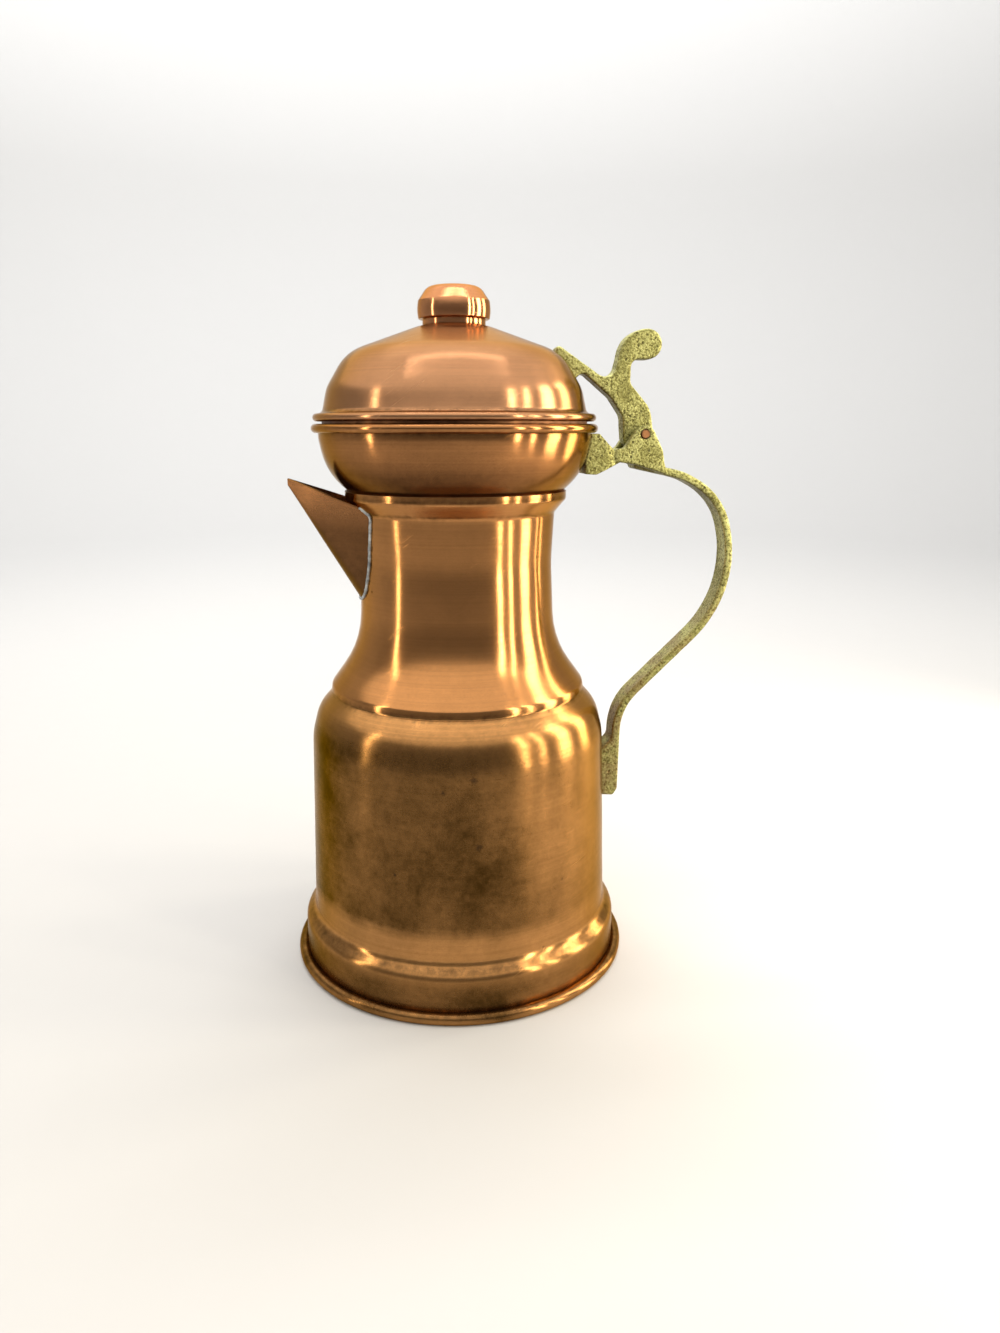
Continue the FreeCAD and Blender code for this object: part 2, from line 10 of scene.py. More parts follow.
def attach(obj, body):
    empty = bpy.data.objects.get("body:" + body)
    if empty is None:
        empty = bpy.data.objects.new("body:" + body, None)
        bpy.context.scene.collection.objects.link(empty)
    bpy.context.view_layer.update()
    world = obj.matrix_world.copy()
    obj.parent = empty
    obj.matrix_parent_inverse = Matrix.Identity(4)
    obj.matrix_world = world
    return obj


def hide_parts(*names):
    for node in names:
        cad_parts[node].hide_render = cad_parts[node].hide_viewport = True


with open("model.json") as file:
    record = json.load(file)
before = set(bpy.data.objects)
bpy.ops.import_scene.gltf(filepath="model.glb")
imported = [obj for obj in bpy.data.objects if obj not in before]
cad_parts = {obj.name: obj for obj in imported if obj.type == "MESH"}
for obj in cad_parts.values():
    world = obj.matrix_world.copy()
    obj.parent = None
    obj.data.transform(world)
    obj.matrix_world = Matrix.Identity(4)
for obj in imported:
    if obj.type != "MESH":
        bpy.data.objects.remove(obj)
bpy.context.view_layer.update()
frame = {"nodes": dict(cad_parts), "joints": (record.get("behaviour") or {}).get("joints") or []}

# Body: belly, shoulder and stepped foot, spun from one copper sheet and polished by hand.
# The foot's edge is rolled over a wire, and the collar goes up inside the neck's skirt.
# It has gone golden brown, with cloudy tarnish and small pits; dirt and painted shade darken its steps, and
# painted shade darkens its foot wall and belly, less so on the handle's side.

sheet_wall = 0.0008
lap_gap = 0.0001
sheet_rounds = 256
waves_per_metre = 30.0
wave_ring = 0.06
merge_distance = 0.000002
sharp_degrees = 38
foot_radius = 0.0684
foot_bead_height = 0.0022
foot_bead_radius = 0.00155
# Corners of the outer face from the top down: radius, height and bend.
body_path = [
    (0.0488, 0.1257, 0),
    (0.0524, 0.1208, 0.0021),
    (0.0525, 0.1181, 0.0012),
    (0.0591, 0.1112, 0.014),
    (0.0619, 0.1004, 0.022),
    (0.0642, 0.0224, 0.005),
    (foot_radius, 0.0180, 0.005),
]
body_clean = (0.53, 0.262, 0.092, 1)
body_brown = (0.055, 0.0265, 0.0055, 1)
# Dirt and painted shade in a crease have a height and a reach, a band of painted shade its two heights, a
# stain its place and size.
body_dirt_and_shade = [(0.1183, 0.0025), (0.0205, 0.0035), (0.0045, 0.0030)]
body_shaded_bands = [(0.002, 0.0175), (0.034, 0.110)]
body_stains = [
    (-0.0004, -0.0620, 0.0973, 0.0016),
    (-0.0120, -0.0609, 0.0928, 0.0012),
    (0.0012, -0.0627, 0.0705, 0.0015),
    (-0.0305, -0.0553, 0.0579, 0.0009),
    (0.0358, -0.0523, 0.0501, 0.0010),
    (0.0273, -0.0580, 0.0239, 0.0011),
]
# Dark brown of the dirt and painted shade in the creases.
dirt_and_shade_colour = (0.06, 0.03, 0.012, 1)
pit_colour = (0.035, 0.02, 0.012, 1)
copper_edge_tint = (0.74, 0.60, 0.42, 1)
lining_clean = (0.42, 0.19, 0.085, 1)
lining_dark = (0.10, 0.055, 0.03, 1)


class Wire:
    """One output in a node tree. Sums, products and the like of it add Math nodes."""

    def __init__(self, tree, socket=None):
        self.tree = tree
        self.socket = socket

    def node(self, kind, settings, inputs, output=0):
        """Any other node: its settings are made first, then its sockets are set or linked."""
        made = self.tree.nodes.new(kind)
        for name, value in settings.items():
            setattr(made, name, value)
        for key, value in inputs.items():
            if isinstance(value, Wire):
                self.tree.links.new(value.socket, made.inputs[key])
            else:
                made.inputs[key].default_value = value
        return Wire(self.tree, made.outputs[output])

    def __add__(self, other):
        return self.node("ShaderNodeMath", {"operation": "ADD"}, {0: self, 1: other})

    def __radd__(self, other):
        return self.node("ShaderNodeMath", {"operation": "ADD"}, {0: other, 1: self})

    def __sub__(self, other):
        return self.node("ShaderNodeMath", {"operation": "SUBTRACT"}, {0: self, 1: other})

    def __rsub__(self, other):
        return self.node("ShaderNodeMath", {"operation": "SUBTRACT"}, {0: other, 1: self})

    def __mul__(self, other):
        return self.node("ShaderNodeMath", {"operation": "MULTIPLY"}, {0: self, 1: other})

    def __rmul__(self, other):
        return self.node("ShaderNodeMath", {"operation": "MULTIPLY"}, {0: other, 1: self})

    def __truediv__(self, other):
        return self.node("ShaderNodeMath", {"operation": "DIVIDE"}, {0: self, 1: other})

    def __rtruediv__(self, other):
        return self.node("ShaderNodeMath", {"operation": "DIVIDE"}, {0: other, 1: self})


def ramp(value, low, high):
    """0 where a value is at low, 1 where it is at high, and between them in a straight line."""
    return value.node("ShaderNodeMapRange", {}, {"Value": value, "From Min": low, "From Max": high})


def blend(share, first, second):
    """A colour between two others."""
    return share.node("ShaderNodeMix", {"data_type": "RGBA"}, {0: share, 6: first, 7: second}, 2)


def stretched(place, factors):
    """A place with each of its three numbers times a factor."""
    return place.node("ShaderNodeVectorMath", {"operation": "MULTIPLY"}, {0: place, 1: factors})


def turned(place, angles):
    """A place turned about the origin."""
    return place.node("ShaderNodeVectorRotate", {"rotation_type": "EULER_XYZ"},
                      {"Vector": place, "Rotation": angles})


def clouds(place, per_metre, detail=3, roughness=0.55):
    """Soft noise with that many blotches to the metre."""
    return place.node("ShaderNodeTexNoise", {}, {
        "Vector": place, "Scale": per_metre, "Detail": detail, "Roughness": roughness,
    })


def pits(place, per_metre, size, keep):
    """1 inside a few small round spots, 0 elsewhere; keep is the share of cells that has one."""
    settings = {"feature": "F1"}
    inputs = {"Vector": place, "Scale": per_metre, "Randomness": 1}
    distance = place.node("ShaderNodeTexVoronoi", settings, inputs, "Distance")
    chance = place.node("ShaderNodeTexVoronoi", settings, inputs, "Color")
    chance = place.node("ShaderNodeSeparateColor", {}, {"Color": chance}, "Red")
    return ramp(distance, size, size * 0.55) * ramp(chance, 1 - keep, 1.001 - keep)


def axis_of(place, axis):
    """One of a vector's three numbers."""
    return place.node("ShaderNodeSeparateXYZ", {}, {"Vector": place}, axis)


def new_material(name):
    """A material, and the wire that its patterns start from: the place on the piece."""
    material = bpy.data.materials.new(name)
    material.use_nodes = True
    place = Wire(material.node_tree).node("ShaderNodeTexCoord", {}, {}, "Object")
    return material, place


def set_shader(material, inputs):
    """Set or link inputs of a material's shader."""
    shader = material.node_tree.nodes["Principled BSDF"]
    for name, value in inputs.items():
        if isinstance(value, Wire):
            material.node_tree.links.new(value.socket, shader.inputs[name])
        else:
            shader.inputs[name].default_value = value


def relief(height, depth, strength):
    """Surface relief for a shader's normal."""
    return height.node("ShaderNodeBump", {}, {"Height": height, "Distance": depth, "Strength": strength})


def polished_copper(name, clean, brown, tarnish, dirt_and_shade_heights, base_roughness,
                    stains=(), shaded_bands=(), drawn=0.75):
    """Polished copper sheet: cloudy tarnish, spinning marks that draw reflections out upwards, scratches,
    pits, stains (x, y, z, size), dirt and painted shade in the creases at some heights, and bands
    (low, high) darkened brown as painted shade and made a little rougher, less so on the handle's side."""
    material, place = new_material(name)
    height = axis_of(place, "Z")
    cloud = clouds(place, 26, 5, 0.62)
    mottle = clouds(place, 330, 4, 0.6)
    grain = clouds(place, 2100, 2)
    rings = clouds(stretched(place, (9, 9, 1500)), 1, 3, 0.7)
    slanted = turned(place, (0.35, 0.5, 0.2))
    scratches = ramp(clouds(stretched(slanted, (60, 35, 3200)), 1, 1), 0.70, 0.76)
    scratches = scratches * ramp(clouds(place, 55, 2), 0.48, 0.62)
    spots = pits(place, 58, 0.055, 0.16)
    ragged = clouds(place, 900, 4, 0.7) - 0.5
    for x, y, z, size in stains:
        ends = {0: place, 1: (x, y, z)}
        away = place.node("ShaderNodeVectorMath", {"operation": "DISTANCE"}, ends, "Value")
        spots = spots + ramp(away + ragged * size * 3, size, size * 0.1) * 0.8
    # Dirt and painted shade: darkening in the creases at the given heights.
    dirt_and_shade = 0
    for crease_height, reach in dirt_and_shade_heights:
        rise = height - crease_height
        away = rise.node("ShaderNodeMath", {"operation": "ABSOLUTE"}, {0: rise})
        dirt_and_shade = dirt_and_shade + ramp(1 - away / reach, 0, 1)
    stain = ramp(cloud * 0.75 + mottle * 0.25, 0.36, 0.68) * tarnish
    # Painted shade: the bands below are darkened brown, more on the -X side away from the handle.
    shade_by_side = 0.95 - ramp(axis_of(place, "X"), 0.0, 0.05) * 0.6
    level = height + (cloud - 0.5) * 0.01
    dull = 0
    for low, high in shaded_bands:
        dull = dull + ramp(level, low - 0.003, low + 0.003) * ramp(level, high + 0.005, high - 0.005)
    # The tarnish mix now also carries the painted shade of the bands.
    stain = ramp(stain * 0.45 + dull * shade_by_side * (0.4 + cloud * 0.35 + grain * 0.15), 0, 1)
    colour = blend(stain, clean, brown)
    colour = blend(ramp(rings, 0.35, 0.75) * 0.22, colour, brown)
    colour = blend(ramp(grain, 0.5, 0.8) * 0.25, colour, brown)
    # Dirt and painted shade darken the creases.
    colour = blend(ramp(dirt_and_shade * mottle, 0.2, 0.75) * 0.8, colour, dirt_and_shade_colour)
    colour = blend(spots * 0.85, colour, pit_colour)
    rough = base_roughness + stain * 0.1 + ramp(grain, 0.3, 0.8) * 0.05
    rough = rough + rings * 0.05 + scratches * 0.1 + spots * 0.3
    surface = rings * 0.35 + mottle * 0.5 + grain * 0.18 - scratches * 0.5 - spots * 1.5
    set_shader(material, {
        "Base Color": colour, "Metallic": 1, "Roughness": rough, "Normal": relief(surface, 0.0001, 0.22),
        "Anisotropic": drawn, "Anisotropic Rotation": 0.25, "Specular Tint": copper_edge_tint,
    })
    return material


def raw_copper(name, clean, dark):
    """Unpolished copper: dull, with brown and nearly black clouds and a faint run of old water marks."""
    material, place = new_material(name)
    cloud = clouds(place, 40, 6, 0.65)
    runs = clouds(stretched(place, (160, 160, 14)), 1, 3)
    grain = clouds(place, 900, 3, 0.6)
    stain = ramp(cloud * 0.6 + runs * 0.4, 0.36, 0.66)
    colour = blend(stain, clean, dark)
    colour = blend(ramp(grain, 0.45, 0.75) * 0.35, colour, dark)
    set_shader(material, {
        "Base Color": colour, "Metallic": 0.9, "Roughness": 0.32 + stain * 0.25 + grain * 0.1,
        "Normal": relief(grain + cloud, 0.0002, 0.25),
    })
    return material


def along_path(path, bend_step=0.13, run_step=0.003):
    """Points along a path of corners (radius, height, bend), as complex numbers: radius + height * 1j."""
    corners = [complex(radius, height) for radius, height, bend in path]
    bends = [bend for radius, height, bend in path]
    rounded = corners[:1]
    for before, here, after, bend in zip(corners, corners[1:], corners[2:], bends[1:]):
        way = (here - before) / abs(here - before)
        turn = cmath.phase((after - here) / way)
        start = here - way * bend * math.tan(abs(turn) / 2)
        to_centre = way * 1j * math.copysign(bend, turn)
        steps = max(2, math.ceil(abs(turn) / bend_step))
        for step in range(steps + 1):
            rounded.append(start + to_centre * (1 - cmath.exp(1j * turn * step / steps)))
    rounded.append(corners[-1])
    points = rounded[:1]
    for start, end in zip(rounded, rounded[1:]):
        steps = math.ceil(abs(end - start) / run_step)
        for step in range(1, steps + 1):
            points.append(start + (end - start) * step / steps)
    return points


def inner_path(path, depth):
    """A path moved to the right of its direction by a depth, with its bends kept concentric."""
    corners = [complex(radius, height) for radius, height, bend in path]
    ways = [(end - start) / abs(end - start) for start, end in zip(corners, corners[1:])]
    moved = []
    for (radius, height, bend), arriving, leaving in zip(path, ways[:1] + ways, ways + ways[-1:]):
        cosine = (leaving / arriving).real
        place = complex(radius, height) - 1j * (arriving + leaving) * depth / (1 + cosine)
        side = 1 if (leaving / arriving).imag > 0 else -1
        moved.append((place.real, place.imag, bend + side * depth))
    return moved


def rolled_edge(radius, height, roll, side):
    """Corners that wrap a sheet round a wire, over it (side 1) or under it (-1), its edge tucked in."""
    near = height + side * roll
    far = height - side * roll
    wide = radius + 2 * roll
    tuck = math.asin((roll - lap_gap) / (roll + sheet_wall))
    trim = roll * math.tan(tuck / 2)
    turn = radius + roll - trim
    tip = (turn - trim * math.cos(tuck), far + side * trim * math.sin(tuck), 0)
    return [(radius, near, roll), (wide, near, roll), (wide, far, roll), (turn, far, roll), tip]


def add_inputs(tree, wanted):
    """Named inputs of a geometry node tree, with a geometry in and a geometry out."""
    tree.interface.new_socket("Geometry", in_out="INPUT", socket_type="NodeSocketGeometry")
    tree.interface.new_socket("Geometry", in_out="OUTPUT", socket_type="NodeSocketGeometry")
    for name, kind in wanted.items():
        tree.interface.new_socket(name, in_out="INPUT", socket_type="NodeSocket" + kind)
    source = tree.nodes.new("NodeGroupInput")
    return {socket.name: Wire(tree, socket) for socket in source.outputs if socket.name}


def end_tree(tree, geometry):
    """Hand a geometry out of a node tree."""
    sink = tree.nodes.new("NodeGroupOutput")
    tree.links.new(geometry.socket, sink.inputs[0])


def spun_tree():
    """Nodes that spin a row of profile points about the Z axis into a sheet with a faint hand-made wave."""
    tree = bpy.data.node_groups.new("spun_sheet", "GeometryNodeTree")
    given = add_inputs(tree, {
        "Round count": "Int", "Wave depth": "Float", "Waves per metre": "Float", "Lining from": "Int",
        "Lining to": "Int", "Outside": "Material", "Lining": "Material",
    })
    start = Wire(tree)
    profile = given["Geometry"]
    rows = start.node("GeometryNodeAttributeDomainSize", {"component": "MESH"}, {"Geometry": profile})
    columns = given["Round count"] + 1
    grid = start.node("GeometryNodeMeshGrid", {}, {"Vertices X": rows, "Vertices Y": columns})
    index = start.node("GeometryNodeInputIndex", {}, {})
    row = start.node("ShaderNodeMath", {"operation": "FLOOR"}, {0: (index + 0.5) / columns})
    angle = (index - row * columns) * (2 * math.pi) / given["Round count"]
    position = start.node("GeometryNodeInputPosition", {}, {})
    place = start.node("GeometryNodeSampleIndex", {"data_type": "FLOAT_VECTOR", "domain": "POINT"}, {
        "Geometry": profile, "Value": position, "Index": row,
    })
    radius = axis_of(place, "X")
    height = axis_of(place, "Z")
    across = start.node("ShaderNodeMath", {"operation": "COSINE"}, {0: angle})
    along = start.node("ShaderNodeMath", {"operation": "SINE"}, {0: angle})
    spread = start.node("ShaderNodeCombineXYZ", {}, {
        "X": across * wave_ring, "Y": along * wave_ring, "Z": height,
    })
    wave = clouds(spread, given["Waves per metre"], 2) - 0.5
    wide = radius + wave * given["Wave depth"] * ramp(radius, 0.002, 0.012)
    spot = start.node("ShaderNodeCombineXYZ", {}, {"X": across * wide, "Y": along * wide, "Z": height})
    sheet = start.node("GeometryNodeSetPosition", {}, {"Geometry": grid, "Position": spot})
    face_share = (index + 0.5) / given["Round count"]
    face_row = start.node("ShaderNodeMath", {"operation": "FLOOR"}, {0: face_share})
    begun = start.node("ShaderNodeMath", {"operation": "GREATER_THAN"}, {
        0: face_row, 1: given["Lining from"] - 0.5,
    })
    unended = start.node("ShaderNodeMath", {"operation": "LESS_THAN"}, {
        0: face_row, 1: given["Lining to"] - 0.5,
    })
    lined = begun * unended
    sheet = start.node("GeometryNodeSetShadeSmooth", {}, {"Geometry": sheet})
    sheet = start.node("GeometryNodeRealizeInstances", {}, {"Geometry": sheet})
    sheet = start.node("GeometryNodeSetMaterial", {}, {"Geometry": sheet, "Material": given["Outside"]})
    sheet = start.node("GeometryNodeSetMaterial", {}, {
        "Geometry": sheet, "Selection": lined, "Material": given["Lining"],
    })
    end_tree(tree, sheet)
    return tree


def grown(name, mesh, tree, settings):
    """A new object: a mesh put through a geometry node tree with these inputs, and tidied."""
    seed = bpy.data.objects.new(name + "_seed", mesh)
    bpy.context.scene.collection.objects.link(seed)
    modifier = seed.modifiers.new("grow", "NODES")
    modifier.node_group = tree
    for item in tree.interface.items_tree:
        if item.item_type == "SOCKET" and item.name in settings:
            modifier[item.identifier] = settings[item.name]
    return finished(name, seed)


def finished(name, seed):
    """A plain mesh object from one with modifiers: doubles merged, normals out, smooth but for edges."""
    bpy.context.view_layer.update()
    view = bpy.context.evaluated_depsgraph_get()
    mesh = bpy.data.meshes.new_from_object(seed.evaluated_get(view), depsgraph=view)
    bpy.data.objects.remove(seed)
    work = bmesh.new()
    work.from_mesh(mesh)
    bmesh.ops.remove_doubles(work, verts=work.verts, dist=merge_distance)
    bmesh.ops.recalc_face_normals(work, faces=work.faces)
    for face in work.faces:
        face.smooth = True
    work.to_mesh(mesh)
    work.free()
    mesh.set_sharp_from_angle(angle=math.radians(sharp_degrees))
    mesh.name = name
    piece = bpy.data.objects.new(name, mesh)
    bpy.context.scene.collection.objects.link(piece)
    return piece


def row_mesh(name, points):
    """Profile points in the XZ plane; below the table's top they are worn flat."""
    mesh = bpy.data.meshes.new(name)
    mesh.from_pydata([(point.real, 0, max(point.imag, 0)) for point in points], [], [])
    return mesh


def spun_sheet(name, path, outside, lining, wave_depth, roll_radius=1.0):
    """Copper sheet spun from the path of its outer face, drawn from top to bottom.
    Beyond roll_radius the sheet is rolled over and shows the polish on its other face."""
    outer = along_path(path)
    inner = along_path(inner_path(path, sheet_wall))[::-1]
    points = outer + inner + outer[:1]
    lined = [len(outer) + place for place, point in enumerate(inner) if point.real < roll_radius]
    return grown(name, row_mesh(name, points), spinning, {
        "Round count": sheet_rounds, "Wave depth": wave_depth, "Waves per metre": waves_per_metre,
        "Lining from": lined[0], "Lining to": lined[-1] + 1, "Outside": outside, "Lining": lining,
    })


def fit(piece, body, slot, *nodes):
    """Let a piece ride on a body and stand for CAD nodes, which it hides; slot is not used."""
    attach(piece, body)
    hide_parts(*nodes)


def dress(node, material):
    """Give a CAD node, whose shape stays, a material."""
    for slot in frame["nodes"][node].material_slots:
        slot.material = material


spinning = spun_tree()
lining_copper = raw_copper("lining_copper", lining_clean, lining_dark)
body_copper = polished_copper("body_copper", body_clean, body_brown, tarnish=0.9, dirt_and_shade_heights=body_dirt_and_shade,
                              base_roughness=0.15, stains=body_stains, shaded_bands=body_shaded_bands)
body_path += rolled_edge(foot_radius, foot_bead_height, foot_bead_radius, -1)
belly_sheet = spun_sheet("belly_sheet", body_path, body_copper, lining_copper, wave_depth=0.0004,
                         roll_radius=foot_radius - sheet_wall / 2)
fit(belly_sheet, "vessel", "body_copper", "body")

# Bottom plate: a shallow copper pan soldered inside the foot, never polished.
# Only its dull underside can be seen, from below.

dress("bottom_plate", lining_copper)

# Foot, bowl and lid wires: iron wire inside the rolled edges, dark and a little rusty.
# Each is bent to a ring, and the sheet is rolled over it to stiffen the rim.

wire_dark = (0.09, 0.08, 0.075, 1)
wire_rust = (0.16, 0.06, 0.025, 1)


def iron(name):
    """Drawn iron wire with patches of rust."""
    material, place = new_material(name)
    rust = ramp(clouds(place, 300, 4), 0.45, 0.65)
    set_shader(material, {
        "Base Color": blend(rust, wire_dark, wire_rust), "Metallic": 1 - rust * 0.7,
        "Roughness": 0.4 + rust * 0.4, "Normal": relief(rust, 0.0001, 0.3),
    })
    return material


iron_wire = iron("iron_wire")
for wire_node in ("foot_rim_wire", "bowl_rim_wire", "lid_rim_wire"):
    dress(wire_node, iron_wire)

# Neck: spun copper sheet whose flared skirt laps over the body and whose lip takes the bowl.
# A triangle of strainer holes is punched through it behind the spout.

neck_path = [
    (0.0449, 0.2004, 0),
    (0.0449, 0.1974, 0.0016),
    (0.0403, 0.1919, 0.0025),
    (0.0392, 0.1720, 0.060),
    (0.0407, 0.1382, 0.040),
    (0.0530, 0.1213, 0.003),
    (0.0534, 0.1189, 0),
]
neck_clean = (0.50, 0.23, 0.082, 1)
neck_brown = (0.18, 0.083, 0.028, 1)
# Heights where dirt and painted shade darken the neck's creases.
neck_dirt_and_shade = [(0.1192, 0.002), (0.1985, 0.003), (0.1925, 0.002)]
hole_rows = 3
hole_sides = 40
hole_settings = {"Hole radius": 0.0027, "Pitch": 0.0086, "Top height": 0.1839, "Reach": 0.042, "Depth": 0.02}


def strainer_tree():
    """Nodes that punch a triangle of round holes through a sheet on its -X side."""
    tree = bpy.data.node_groups.new("strainer_holes", "GeometryNodeTree")
    given = add_inputs(tree, {name: "Float" for name in hole_settings} | {"Hole wall": "Material"})
    start = Wire(tree)
    grid = start.node("GeometryNodeMeshGrid", {}, {"Vertices X": hole_rows, "Vertices Y": hole_rows})
    index = start.node("GeometryNodeInputIndex", {}, {})
    column = start.node("ShaderNodeMath", {"operation": "FLOOR"}, {0: (index + 0.5) / hole_rows})
    row = index - column * hole_rows
    pitch = given["Pitch"]
    spot = start.node("ShaderNodeCombineXYZ", {}, {
        "X": 0 - given["Reach"],
        "Y": (column - (hole_rows - 1 - row) / 2) * pitch,
        "Z": given["Top height"] - row * pitch,
    })
    grid = start.node("GeometryNodeSetPosition", {}, {"Geometry": grid, "Position": spot})
    outside = start.node("ShaderNodeMath", {"operation": "GREATER_THAN"}, {
        0: row + column, 1: hole_rows - 0.5,
    })
    spots = start.node("GeometryNodeMeshToPoints", {}, {"Mesh": grid, "Selection": 1 - outside})
    punch = start.node("GeometryNodeMeshCylinder", {}, {
        "Vertices": hole_sides, "Radius": given["Hole radius"], "Depth": given["Depth"],
    })
    punches = start.node("GeometryNodeInstanceOnPoints", {}, {
        "Points": spots, "Instance": punch, "Rotation": (0, math.radians(90), 0),
    })
    punches = start.node("GeometryNodeRealizeInstances", {}, {"Geometry": punches})
    punches = start.node("GeometryNodeSetMaterial", {}, {
        "Geometry": punches, "Material": given["Hole wall"],
    })
    holed = start.node("GeometryNodeMeshBoolean", {"operation": "DIFFERENCE", "solver": "EXACT"}, {
        "Mesh 1": given["Geometry"], "Mesh 2": punches,
    })
    end_tree(tree, start.node("GeometryNodeRealizeInstances", {}, {"Geometry": holed}))
    return tree


neck_copper = polished_copper("neck_copper", neck_clean, neck_brown,
                              tarnish=0.65, dirt_and_shade_heights=neck_dirt_and_shade, base_roughness=0.13)
plain_neck = spun_sheet("plain_neck", neck_path, neck_copper, lining_copper, wave_depth=0.0003)
neck_mesh = plain_neck.data
bpy.data.objects.remove(plain_neck)
neck_sheet = grown("neck_sheet", neck_mesh, strainer_tree(), hole_settings | {"Hole wall": lining_copper})
fit(neck_sheet, "vessel", "neck_copper", "neck")

# Bowl: cup of spun copper sheet above the neck, with its rim rolled outwards over a wire.
# Its tail goes down inside the neck's lip.

bowl_radius = 0.0545
bowl_bead_height = 0.22485
bowl_bead_radius = 0.00095
bowl_path = rolled_edge(bowl_radius, bowl_bead_height, bowl_bead_radius, 1)[::-1] + [
    (bowl_radius, 0.2209, 0.010),
    (0.0519, 0.2082, 0.025),
    (0.0440, 0.2009, 0.0012),
    (0.0440, 0.1978, 0.0025),
    (0.0394, 0.1923, 0.0016),
    (0.0391, 0.1863, 0),
]
# A band of painted shade on the bowl's lower part.
bowl_shaded_bands = [(0.180, 0.2130)]
bowl_clean = (0.42, 0.19, 0.070, 1)
bowl_brown = (0.07, 0.030, 0.011, 1)
# Heights where dirt and painted shade darken the bowl's creases.
bowl_dirt_and_shade = [(0.2005, 0.003), (0.2232, 0.0022)]

bowl_copper = polished_copper("bowl_copper", bowl_clean, bowl_brown, tarnish=0.7, dirt_and_shade_heights=bowl_dirt_and_shade,
                              base_roughness=0.11, shaded_bands=bowl_shaded_bands)
bowl_sheet = spun_sheet("bowl_sheet", bowl_path, bowl_copper, lining_copper, wave_depth=0.0005,
                        roll_radius=bowl_radius - sheet_wall / 2)
fit(bowl_sheet, "vessel", "bowl_copper", "bowl")

# Spout: an open beak folded from one piece of copper sheet, its point bent by hand.
# Its edges are cut with shears and left a little uneven.

spout_point = Vector((-0.0692, 0, 0.2061))
spout_length = 0.0432
spout_rim_half = 0.0261
spout_rim_drop = 0.0158
spout_keel_half = 0.0156
spout_keel_drop = 0.0724
spout_keel_bend = 0.0169
spout_tip_share = 0.045
spout_gap = 0.0002
spout_search_steps = 24
spout_steps = 48
spout_edge_round = 0.00018
spout_waves_per_metre = 60
spout_wave_depth = 0.0003
spout_wave_seed = 5
# A band of painted shade on the spout's lower part.
spout_shaded_bands = [(0.09, 0.190)]
spout_clean = (0.27, 0.125, 0.052, 1)
spout_brown = (0.07, 0.034, 0.014, 1)


def neck_radius(height):
    """The neck's outer radius at a height."""
    line = along_path(neck_path)
    for high, low in zip(line, line[1:]):
        if low.imag <= height <= high.imag and high.imag > low.imag:
            return low.real + (high.real - low.real) * (height - low.imag) / (high.imag - low.imag)
    return line[0].real


def spout_place(corner, share):
    """A place on the spout: a share of the way from its point to a corner of its section in the neck."""
    return spout_point + Vector((spout_length, corner.real, corner.imag)) * share


def spout_end(corner):
    """The share at which a line from the spout's point meets the neck."""
    near = spout_tip_share
    far = 1.0
    for step in range(spout_search_steps):
        middle = (near + far) / 2
        place = spout_place(corner, middle)
        if place.xy.length > neck_radius(place.z) + spout_gap:
            near = middle
        else:
            far = middle
    return near


def uneven(place, per_metre, depth):
    """A small smooth shift of a place, the same each time once the noise has a fixed seed."""
    return noise.noise_vector(place * per_metre) * depth


spout_section = along_path([
    (spout_rim_half, -spout_rim_drop, 0),
    (spout_keel_half, -spout_keel_drop, spout_keel_bend),
    (-spout_keel_half, -spout_keel_drop, spout_keel_bend),
    (-spout_rim_half, -spout_rim_drop, 0),
], bend_step=0.09, run_step=0.002)
noise.seed_set(spout_wave_seed)
spout_points = []
spout_seam = []
for corner in spout_section:
    end_share = spout_end(corner)
    for step in range(spout_steps + 1):
        place = spout_place(corner, spout_tip_share + (end_share - spout_tip_share) * step / spout_steps)
        shift = uneven(place, spout_waves_per_metre, spout_wave_depth)
        spout_points.append(place + shift * (1 - step / spout_steps))
    spout_seam.append(spout_points[-1])
spout_faces = []
for line in range(len(spout_section) - 1):
    for step in range(spout_steps):
        first = line * (spout_steps + 1) + step
        spout_faces.append((first, first + 1, first + spout_steps + 2, first + spout_steps + 1))
spout_mesh = bpy.data.meshes.new("spout_sheet")
spout_mesh.from_pydata(spout_points, [], spout_faces)
spout_copper = polished_copper("spout_copper", spout_clean, spout_brown, tarnish=0.8, dirt_and_shade_heights=[],
                               base_roughness=0.2, shaded_bands=spout_shaded_bands, drawn=0.0)
spout_mesh.materials.append(spout_copper)
spout_mesh.materials.append(lining_copper)
spout_seed = bpy.data.objects.new("spout_seed", spout_mesh)
bpy.context.scene.collection.objects.link(spout_seed)
thicken = spout_seed.modifiers.new("thicken", "SOLIDIFY")
thicken.thickness = sheet_wall
thicken.offset = -1
thicken.material_offset = 1
rounding = spout_seed.modifiers.new("rounding", "BEVEL")
rounding.width = spout_edge_round
rounding.segments = 2
spout_sheet = finished("spout_sheet", spout_seed)
fit(spout_sheet, "vessel", "spout_copper", "spout")

# Spout solder: a lumpy line of soft tin solder between spout and neck.
# It is run along the seam while hot, and has gone dull and grey.

solder_bright = (0.50, 0.52, 0.52, 1)
solder_grey = (0.20, 0.22, 0.23, 1)
bead_points = 320
bead_sides = 12
solder_settings = {"Bead radius": 0.00075, "Lump depth": 0.0006, "Lumps per metre": 420.0}


